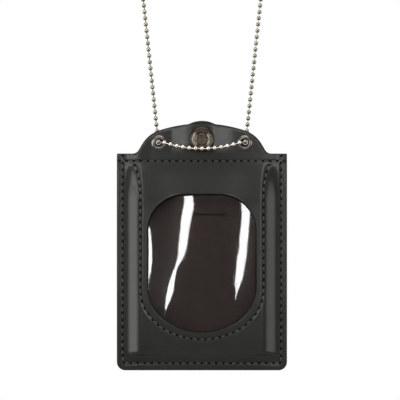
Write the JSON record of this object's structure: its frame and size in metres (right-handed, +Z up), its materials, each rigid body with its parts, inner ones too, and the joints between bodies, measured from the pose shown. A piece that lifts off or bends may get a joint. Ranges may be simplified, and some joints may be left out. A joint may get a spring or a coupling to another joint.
{
  "type": "id badge wallet",
  "caption": "Leather neck wallet for a badge or id card, with a clear window, a snap strap that closes the pocket and a ball chain through two eyelets.",
  "frame": {"origin": "top of the chain's loop, on its middle line, where a neck or a hook carries it", "axes": "+X to the right as the front is seen, +Y from the front to the back, +Z up"},
  "size_m": [0.089, 0.0127, 0.2306],
  "materials": {
    "black_leather": "smooth, semi-gloss",
    "black_thread": "twisted thread",
    "gunmetal": "dark plated",
    "dark_nickel": "dark nickel plate",
    "nickel_chain": "nickel plate",
    "spring_steel": "drawn wire",
    "clear_film": "clear soft film"
  },
  "bodies": {
    "neck_chain": {"chain_neck_beads": "nickel_chain", "chain_neck_pins": "nickel_chain", "chain_connector": "nickel_chain"},
    "wallet": {"front_panel": "black_leather", "tab_lining": "black_leather", "badge_panel": "black_leather", "back_panel": "black_leather", "strap_base": "black_leather", "perimeter_stitching": "black_thread", "top_stitching": "black_thread", "window_stitching": "black_thread", "strap_stitching": "black_thread", "snap_cap": "gunmetal", "snap_socket": "gunmetal", "eyelet_left": "dark_nickel", "eyelet_right": "dark_nickel", "eyelet_washer_left": "dark_nickel", "eyelet_washer_right": "dark_nickel", "chain_front_beads": "nickel_chain", "chain_front_pins": "nickel_chain", "window_film": "clear_film", "snap_spring": "spring_steel"},
    "closure_strap": {"strap_flap": "black_leather", "snap_stud": "gunmetal", "snap_post": "gunmetal"}
  },
  "joints": [
    {"name": "wallet_swing", "type": "hinge", "parent": "neck_chain", "child": "wallet", "pos_m": [0, -0.00222, -0.10971], "axis": [1, 0, 0], "range_deg": [0, 90]},
    {"name": "strap_fold", "type": "hinge", "parent": "wallet", "child": "closure_strap", "pos_m": [0, 0.0026, -0.12621], "axis": [-1, 0, 0], "range_deg": [0, 150]}
  ]
}
